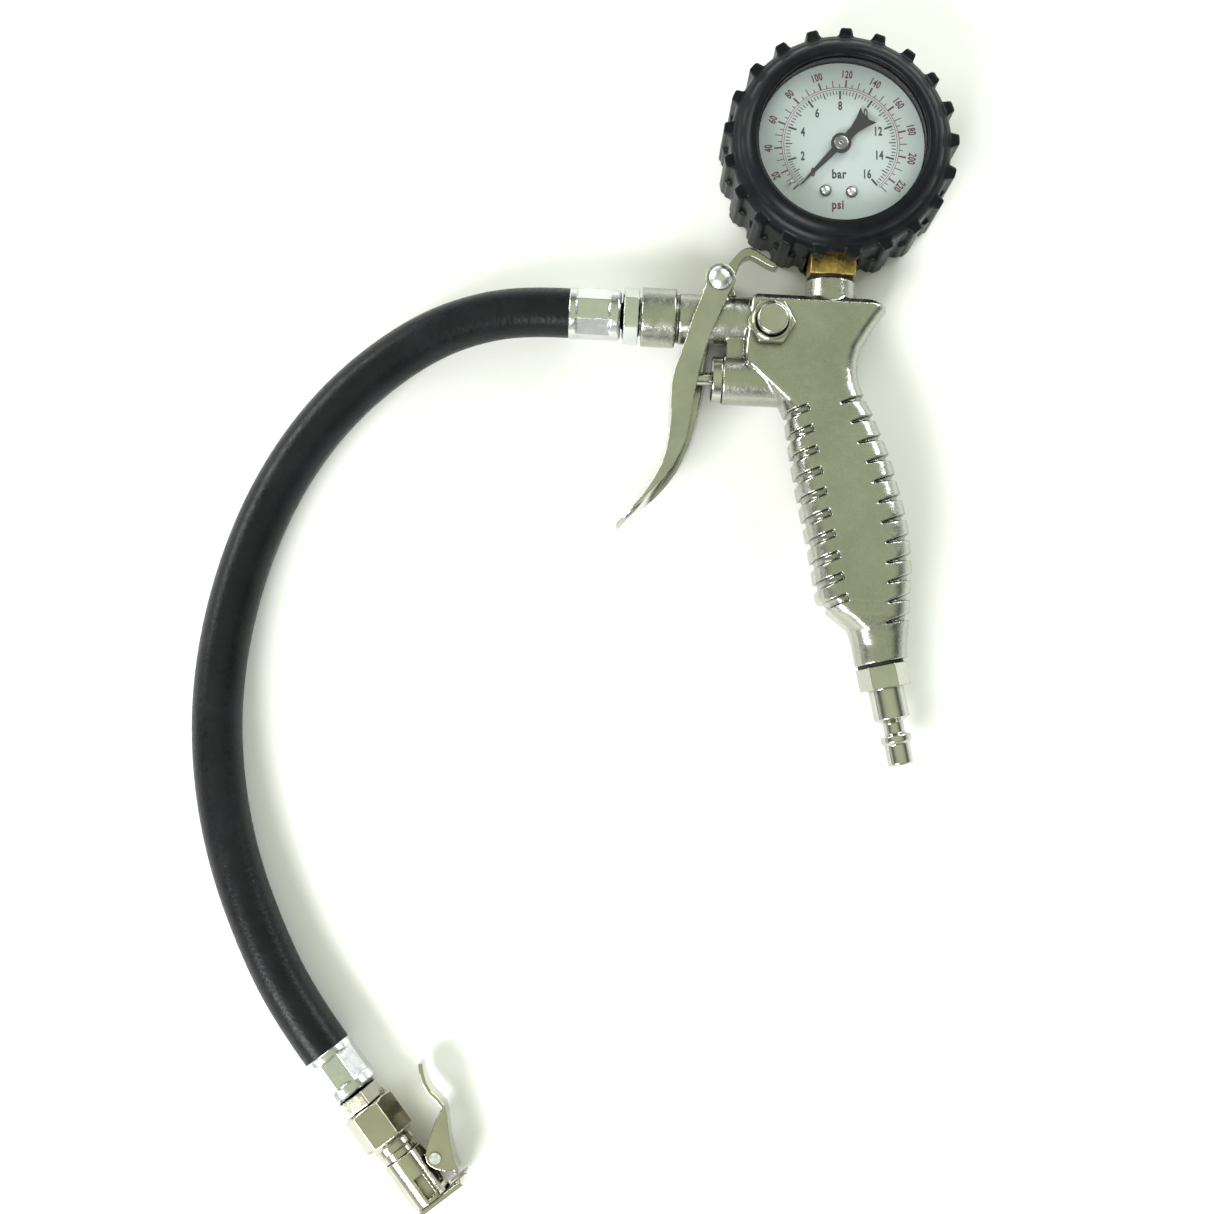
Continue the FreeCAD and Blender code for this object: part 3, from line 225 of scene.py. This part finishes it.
def plated(name, base, rough, ripple=0.02, scratch=0.006):
    m = Mat(name, base, 1.0, rough)
    big = m.ramp(m.noise(0.12, 3.0), [(0.3, tuple(c * 0.9 for c in base)), (0.7, tuple(min(1, c * 1.06) for c in base))])
    # painted shade: hollows (pointiness) and close contacts with other parts (ambient occlusion) are darkened in the
    # base colour
    hollow_shade = m.ramp(m.wear(0.45, 0.55), [(0.0, 0.6), (0.5, 1.0)])
    m.colour(m.mul(m.mul(big, hollow_shade), crevice(m, 2.5, 0.3)))
    m.roughness(m.ramp(m.noise(0.9, 4.0, 0.6), [(0.3, rough * 0.7), (0.75, rough * 1.4)]))
    m.bump(m.noise(0.35, 2.0), ripple)
    m.bump(m.noise(3.5, 2.0, 0.6), scratch)
    return m.m


def rubber(name, base, rough, grain, per_mm, sheen=0.0):
    m = Mat(name, base, 0.0, rough, 0.13)
    m.colour(m.ramp(m.noise(0.18, 4.0), [(0.3, tuple(c * 0.75 for c in base)), (0.75, tuple(c * 1.5 for c in base))]))
    m.roughness(m.ramp(m.noise(0.6, 4.0), [(0.25, rough * 0.85), (0.8, rough * 1.2)]))
    m.bump(m.noise(per_mm, 3.0, 0.6), grain)
    if sheen:
        m.b.inputs["Sheen Weight"].default_value = sheen
        m.b.inputs["Sheen Roughness"].default_value = 0.5
    return m.m


CAST = cast_metal("cast_nickel", (0.46, 0.465, 0.405), 0.25, 0.022, 1.1)
SHEET = plated("sheet_nickel", (0.48, 0.48, 0.43), 0.20, 0.03, 0.006)
TURNED = plated("turned_nickel", (0.54, 0.54, 0.49), 0.15, 0.015, 0.004)
BUTTON = plated("button_nickel", (0.50, 0.50, 0.44), 0.18, 0.01, 0.006)
CHUCKMAT = plated("chuck_nickel", (0.52, 0.505, 0.42), 0.14, 0.03, 0.005)
ZINC = plated("zinc_bright", (0.66, 0.69, 0.68), 0.2, 0.03, 0.006)
PIN = plated("zinc_pin", (0.70, 0.74, 0.74), 0.3, 0.02, 0.015)
STEEL = plated("spring_steel", (0.55, 0.55, 0.54), 0.25)


def brass():
    m = Mat("machined_brass", (0.72, 0.50, 0.16), 1.0, 0.34)
    tone = m.ramp(m.noise(0.25, 4.0), [(0.3, (0.50, 0.33, 0.09)), (0.7, (0.78, 0.56, 0.20))])
    lines = m.ramp(m.noise(0.5, 3.0, 0.6, (6.0, 0.35, 6.0)), [(0.3, 0.7), (0.7, 1.0)])
    # painted shade: the base colour is darkened in the hollows (pointiness)
    m.colour(m.mul(m.mul(tone, lines), m.ramp(m.wear(0.45, 0.56), [(0.0, 0.5), (0.5, 1.0)])))
    m.roughness(m.ramp(m.noise(0.7, 4.0), [(0.3, 0.26), (0.75, 0.5)]))
    m.bump(m.noise(0.6, 3.0, 0.6, (7.0, 0.3, 7.0)), 0.03)
    m.bump(m.noise(0.9, 3.0), 0.05)
    return m.m


BRASS = brass()


def hose_rubber():
    m = Mat("hose_rubber", (0.006, 0.007, 0.009), 0.0, 0.34, 0.2)
    m.colour(m.ramp(m.noise(0.08, 4.0), [(0.3, (0.004, 0.005, 0.006)), (0.75, (0.010, 0.011, 0.014))]))
    m.roughness(m.ramp(m.noise(0.5, 4.0), [(0.3, 0.27), (0.75, 0.46)]))
    m.bump(m.cells(0.75), 0.05)
    m.bump(m.noise(1.8, 3.0, 0.6), 0.03)
    m.bump(m.noise(0.12, 2.0), 0.10)
    return m.m


HOSE_RUBBER = hose_rubber()
BOOT = rubber("boot_rubber", (0.005, 0.006, 0.008), 0.34, 0.02, 2.2)
SEAL = rubber("seal_rubber", (0.02, 0.02, 0.02), 0.55, 0.03, 2.0)
BEZEL = rubber("bezel_paint", (0.004, 0.004, 0.005), 0.28, 0.008, 3.0)


def dial_paint():
    m = Mat("dial_paint", (0.60, 0.67, 0.69), 0.15, 0.34, 0.5)
    m.colour(m.ramp(m.noise(0.035, 3.0), [(0.3, (0.37, 0.43, 0.45)), (0.7, (0.45, 0.51, 0.53))]))
    m.roughness(m.ramp(m.noise(2.0, 3.0), [(0.3, 0.3), (0.7, 0.42)]))
    m.bump(m.noise(5.0, 2.0), 0.004)
    return m.m


def ink(name, col):
    m = Mat(name, col, 0.0, 0.45)
    m.colour(m.ramp(m.noise(2.5, 3.0), [(0.3, tuple(c * 0.8 for c in col)), (0.7, tuple(min(1, c * 1.2 + 0.003) for c in col))]))
    return m.m


DIAL = dial_paint()
INK = ink("ink_black", (0.010, 0.012, 0.014))
PURPLE = ink("ink_purple", (0.09, 0.012, 0.055))
CIRCLE = ink("ink_circle", (0.20, 0.07, 0.15))
POINTER = rubber("pointer_black", (0.004, 0.005, 0.006), 0.55, 0.002, 3.0)


def clear():
    m = Mat("lens_clear", (0.95, 0.97, 0.98), 0.0, 0.03, 0.5, 1.49)
    m.b.inputs["Alpha"].default_value = 0.02
    m.bump(m.noise(0.05, 2.0), 0.02)
    return m.m


LENS = clear()


def strainer():
    m = Mat("strainer_mesh", (0.6, 0.6, 0.58), 1.0, 0.35)
    m.bump(m.cells(2.5), 0.1)
    m.colour(m.ramp(m.cells(2.5), [(0.1, 0.65), (0.6, 0.2)]))
    return m.m


PAINT = {
    "gun_body": CAST, "trigger": SHEET, "trigger_pivot_pin": PIN, "valve_gland_nut": TURNED, "plunger_seal": SEAL, "valve_seat": BRASS, "valve_plunger": TURNED, "poppet_seal": SEAL,
    "valve_spring": STEEL, "release_nut": BUTTON, "release_button": BUTTON, "release_seal": SEAL, "release_spring": STEEL, "inlet_plug": TURNED, "inlet_washer": SEAL,
    "inlet_strainer": strainer(), "gauge_washer": SEAL, "gauge_stem_block": BRASS, "gauge_boot": BOOT, "gauge_case": BEZEL, "gauge_bezel": BEZEL, "gauge_lens": LENS,
    "gauge_dial": DIAL, "dial_screws": PIN, "pointer_stop_pin": PIN, "movement_frame": BRASS, "sector_gear": BRASS, "pinion": BRASS, "bourdon_tube": BRASS, "bourdon_tip_link": BRASS,
    "pointer": POINTER, "gun_ferrule": ZINC, "hose_stem_nut": ZINC, "chuck_ferrule": ZINC, "chuck_hose_nut": CHUCKMAT, "chuck_body": CHUCKMAT, "chuck_sleeve": CHUCKMAT,
    "chuck_seal": SEAL, "depressor_pin": BRASS, "lever_pin": PIN, "lever_spring": STEEL, "chuck_lever": CHUCKMAT, "chuck_jaw": CHUCKMAT,
}
for name, mat in PAINT.items():
    ob = NODES[name]
    if not ob.material_slots:
        ob.data.materials.append(mat)
    for slot in ob.material_slots:
        slot.link = "OBJECT"
        slot.material = mat
hose_curve.materials.append(HOSE_RUBBER)


# ------------------------------------------------------------------ cast, moulded and rolled edges: the CAD solids with their edges eased
def soften(node, voxel, passes, factor=0.5):
    ob = NODES[node]
    w = ob.modifiers.new("weld", "WELD")
    w.merge_threshold = 1e-6
    r = ob.modifiers.new("even", "REMESH")
    r.mode = "VOXEL"
    r.voxel_size = voxel * MM
    r.adaptivity = 0.0
    r.use_smooth_shade = True
    s = ob.modifiers.new("ease", "SMOOTH")
    s.factor = factor
    s.iterations = passes


soften("gun_body", 0.36, 2)
soften("gauge_boot", 0.42, 4)
soften("trigger", 0.30, 3)
for n, v, k in (("trigger_pivot_pin", 0.20, 3), ("valve_gland_nut", 0.20, 2), ("release_nut", 0.20, 3), ("release_button", 0.18, 3), ("inlet_plug", 0.20, 2), ("gauge_stem_block", 0.25, 3),
                ("gun_ferrule", 0.22, 3), ("hose_stem_nut", 0.22, 3), ("chuck_ferrule", 0.22, 3), ("chuck_hose_nut", 0.20, 3), ("chuck_body", 0.22, 3), ("chuck_sleeve", 0.20, 2),
                ("chuck_lever", 0.20, 3), ("chuck_jaw", 0.18, 2), ("gauge_bezel", 0.25, 2)):
    soften(n, v, k)


# ------------------------------------------------------------------ mesh helpers
def new_piece(name, verts, faces, mat, body, smooth=False):
    me = bpy.data.meshes.new(name)
    me.from_pydata([tuple(v) for v in verts], [], faces)
    me.validate()
    me.update()
    if smooth:
        for p in me.polygons:
            p.use_smooth = True
    me.materials.append(mat)
    ob = bpy.data.objects.new(name, me)
    bpy.context.scene.collection.objects.link(ob)
    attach(ob, body)
    return ob


GC = Vector((19.4, 59.4, 0)) + OFF           # gauge axis, millimetres
UP = math.radians(3.1)                       # the dial's upright direction is turned this far


def on_dial(x, y, z):
    c, s = math.cos(UP), math.sin(UP)
    return Vector((GC.x + c * x - s * y, GC.y + s * x + c * y, z)) * MM


def lathe(profile, turns, x, y, mat, name, body):
    verts, faces, n = [], [], len(profile)
    for i in range(turns):
        a = 2 * math.pi * i / turns
        verts += [on_dial(x + r * math.cos(a), y + r * math.sin(a), z) for r, z in profile]
    for i in range(turns):
        j = (i + 1) % turns
        for k in range(n - 1):
            faces.append((i * n + k, j * n + k, j * n + k + 1, i * n + k + 1))
    if profile[0][0] > 0 and profile[-1][0] > 0:
        for i in range(turns):
            j = (i + 1) % turns
            faces.append((i * n + n - 1, j * n + n - 1, j * n, i * n))
    ob = new_piece(name, verts, faces, mat, body, True)
    bm = bmesh.new()
    bm.from_mesh(ob.data)
    bmesh.ops.remove_doubles(bm, verts=bm.verts, dist=1e-7)
    bmesh.ops.recalc_face_normals(bm, faces=bm.faces)
    bm.to_mesh(ob.data)
    bm.free()
    return ob


# ------------------------------------------------------------------ dial printing
FACE = 25.602
BAR = [(0, 225.5), (2, 197.0), (4, 161.0), (6, 125.5), (8, 90.0), (10, 54.5), (12, 20.0), (14, -16.0), (16, -49.5)]
PSI = [(0, 224.0), (20, 206.3), (40, 183.2), (60, 159.3), (80, 134.4), (100, 108.8), (120, 84.4), (140, 60.8), (160, 36.1), (180, 12.1), (200, -11.8), (220, -36.4), (232, -49.5)]


def at(table, v):
    for (a, p), (b, q) in zip(table, table[1:]):
        if a <= v <= b + 1e-9:
            return math.radians(p + (q - p) * (v - a) / (b - a))
    return math.radians(table[-1][1])


def tick(verts, faces, ang, r0, r1, w, z0=FACE, t=0.05):
    u, v = (math.cos(ang), math.sin(ang)), (-math.sin(ang), math.cos(ang))
    b = len(verts)
    for z in (z0, z0 + t):
        for r, s in ((r0, -w / 2), (r1, -w / 2), (r1, w / 2), (r0, w / 2)):
            verts.append(on_dial(r * u[0] + s * v[0], r * u[1] + s * v[1], z))
    faces += [(b + 3, b + 2, b + 1, b), (b + 4, b + 5, b + 6, b + 7)] + [(b + i, b + (i + 1) % 4, b + 4 + (i + 1) % 4, b + 4 + i) for i in range(4)]


v, f = [], []
for i in range(0, 81):
    b = i * 0.2
    if i % 10 == 0:
        tick(v, f, at(BAR, b), 15.7, 18.6, 0.66)
    elif i % 5 == 0:
        tick(v, f, at(BAR, b), 16.3, 18.6, 0.36)
    else:
        tick(v, f, at(BAR, b), 17.2, 18.6, 0.28)
new_piece("dial_bar_scale", v, f, INK, "gun")
v, f = [], []
for p in range(0, 231, 5):
    if p % 20 == 0:
        tick(v, f, at(PSI, p), 19.9, 22.4, 0.60)
    elif p % 10 == 0:
        tick(v, f, at(PSI, p), 19.9, 22.3, 0.30)
    else:
        tick(v, f, at(PSI, p), 19.9, 21.0, 0.28)
new_piece("dial_psi_scale", v, f, PURPLE, "gun")


def arc_band(r, w, a0, a1, name, mat, z0=FACE, t=0.045):
    steps = 160
    v, f = [], []
    for i in range(steps + 1):
        a = math.radians(a0 + (a1 - a0) * i / steps)
        for rr, z in ((r - w / 2, z0), (r + w / 2, z0), (r + w / 2, z0 + t), (r - w / 2, z0 + t)):
            v.append(on_dial(rr * math.cos(a), rr * math.sin(a), z))
    for i in range(steps):
        for k in range(4):
            a, b = i * 4 + k, i * 4 + (k + 1) % 4
            f.append((a, b, b + 4, a + 4))
    f += [(3, 2, 1, 0), (steps * 4, steps * 4 + 1, steps * 4 + 2, steps * 4 + 3)]
    new_piece(name, v, f, mat, "gun")


arc_band(19.1, 0.22, -49.8, 226.0, "dial_inner_circle", CIRCLE)
arc_band(19.8, 0.22, -49.8, 226.0, "dial_outer_circle", CIRCLE)


def lettering(name, words, mat):
    """words: (text, x, y, turn in degrees, height in mm, squeeze)."""
    v, f = [], []
    for text, x, y, turn, high, squeeze in words:
        cu = bpy.data.curves.new("t", "FONT")
        cu.body = text
        cu.align_x, cu.align_y = "CENTER", "CENTER"
        cu.size = high / 0.70
        cu.offset = 0.05 * high
        cu.extrude = 0.02
        cu.resolution_u = 4
        cu.space_character = 1.12
        ob = bpy.data.objects.new("t", cu)
        bpy.context.scene.collection.objects.link(ob)
        bpy.context.view_layer.update()
        me = bpy.data.meshes.new_from_object(ob.evaluated_get(bpy.context.evaluated_depsgraph_get()))
        b = len(v)
        lo = min((p.co.y for p in me.vertices), default=0)
        hi = max((p.co.y for p in me.vertices), default=0)
        c, s = math.cos(math.radians(turn)), math.sin(math.radians(turn))
        for p in me.vertices:
            px, py = p.co.x * squeeze, p.co.y - (lo + hi) / 2
            v.append(on_dial(x + c * px - s * py, y + s * px + c * py, FACE + 0.021 + p.co.z))
        f += [tuple(b + i for i in q.vertices) for q in me.polygons]
        bpy.data.objects.remove(ob)
        bpy.data.curves.remove(cu)
        bpy.data.meshes.remove(me)
    new_piece(name, v, f, mat, "gun")


lettering("dial_bar_numbers", [(str(b), 13.4 * math.cos(at(BAR, b)), 13.4 * math.sin(at(BAR, b)), 0, 2.9, 0.66) for b in range(0, 17, 2)] + [("bar", -0.7, -10.2, 0, 3.0, 0.78)], INK)
lettering("dial_psi_numbers", [(str(p), 24.4 * math.cos(at(PSI, p)), 24.4 * math.sin(at(PSI, p)), math.degrees(at(PSI, p)) - 90, 2.5, 0.66) for p in range(20, 221, 20)]
          + [("psi", -1.2, -21.3, 0, 3.0, 0.78)], PURPLE)

# dark rings round the dial screws, domed heads and the pointer's cap
for i, sx in enumerate((-4.4, 4.4)):
    c, s = math.cos(-UP), math.sin(-UP)
    x, y = c * sx - s * -16.2, s * sx + c * -16.2
    lathe([(1.50, 25.61), (2.0, 25.61), (2.0, 25.75), (1.85, 25.86), (1.58, 25.86)], 40, x, y, INK, "dial_screw_ring_%d" % i, "gun")
    lathe([(0.0, 26.92), (0.45, 26.88), (0.9, 26.76), (1.25, 26.58), (1.5, 26.34), (1.5, 26.25), (0.0, 26.25)], 40, x, y, PIN, "dial_screw_dome_%d" % i, "gun")
lathe([(0.35, 28.12), (1.2, 28.10), (1.9, 28.02), (2.3, 27.92), (2.42, 27.80), (2.42, 27.6), (0.35, 27.6)], 48, 0, 0, PIN, "pointer_cap_ring", "pointer")
lathe([(0.0, 28.02), (0.34, 28.02), (0.34, 27.6), (0.0, 27.6)], 24, 0, 0, INK, "pointer_cap_dot", "pointer")


# ------------------------------------------------------------------ floor, light
def floor():
    me = bpy.data.meshes.new("floor")
    me.from_pydata([(-3, -3, 0), (3, -3, 0), (3, 3, 0), (-3, 3, 0)], [], [(0, 1, 2, 3)])
    m = Mat("floor_paper", (0.9, 0.9, 0.9), 0.0, 0.9, 0.1)
    m.colour(m.ramp(m.noise(0.01, 2.0), [(0.3, (0.895, 0.895, 0.89)), (0.7, (0.905, 0.905, 0.90))]))
    me.materials.append(m.m)
    ob = bpy.data.objects.new("floor", me)
    ob.location.z = -0.0003
    bpy.context.scene.collection.objects.link(ob)


floor()


def area(name, at_m, to_m, size, watts, col=(1, 1, 1), size_y=None):
    li = bpy.data.lights.new(name, "AREA")
    li.energy = watts
    li.color = col
    li.shape = "RECTANGLE"
    li.size, li.size_y = size, size_y or size
    ob = bpy.data.objects.new(name, li)
    bpy.context.scene.collection.objects.link(ob)
    d = Vector(to_m) - Vector(at_m)
    ob.matrix_world = Matrix.Translation(at_m) @ d.to_track_quat("-Z", "Y").to_matrix().to_4x4()


area("key", (-0.70, -1.15, 0.95), (-0.05, -0.05, 0.0), 1.0, 32.0, (1.0, 1.0, 1.0), 0.45)
area("fill", (0.75, 1.0, 0.75), (0.0, 0.0, 0.0), 1.2, 16.0, (0.96, 1.0, 1.0), 0.35)
area("side", (-1.2, 0.55, 0.6), (-0.05, -0.05, 0.0), 0.9, 12.0, (1.0, 1.0, 0.97), 0.3)

world = bpy.data.worlds.new("studio")
bpy.context.scene.world = world
world.use_nodes = True
t = world.node_tree
bg = t.nodes["Background"]
co = t.nodes.new("ShaderNodeTexCoord")
sep = t.nodes.new("ShaderNodeSeparateXYZ")
ramp = t.nodes.new("ShaderNodeValToRGB")
t.links.new(co.outputs["Generated"], sep.inputs["Vector"])
t.links.new(sep.outputs["Z"], ramp.inputs["Fac"])
t.links.new(ramp.outputs["Color"], bg.inputs["Color"])
stops = [(0.0, (0.75, 0.75, 0.75)), (0.2, (0.70, 0.71, 0.70)), (0.45, (0.10, 0.11, 0.09)), (0.62, (0.16, 0.17, 0.12)), (0.82, (0.50, 0.54, 0.39)), (1.0, (0.60, 0.65, 0.46))]
while len(ramp.color_ramp.elements) < len(stops):
    ramp.color_ramp.elements.new(0.5)
for e, (pos, col) in zip(ramp.color_ramp.elements, stops):
    e.position = pos
    e.color = (*col, 1)
bg.inputs["Strength"].default_value = 1.15

bpy.context.scene.view_settings.view_transform = "Standard"
bpy.context.view_layer.update()

# the hose's own box counts its control points' radius, so the vertices of the finished shapes are gathered as well
depsgraph = bpy.context.evaluated_depsgraph_get()
pts = []
for ob in bpy.context.scene.objects:
    if ob.type in {"MESH", "CURVE"} and ob.name != "floor":
        ev = ob.evaluated_get(depsgraph)
        me = ev.to_mesh()
        if me is not None:
            pts += [ob.matrix_world @ p.co for p in me.vertices]
            ev.to_mesh_clear()
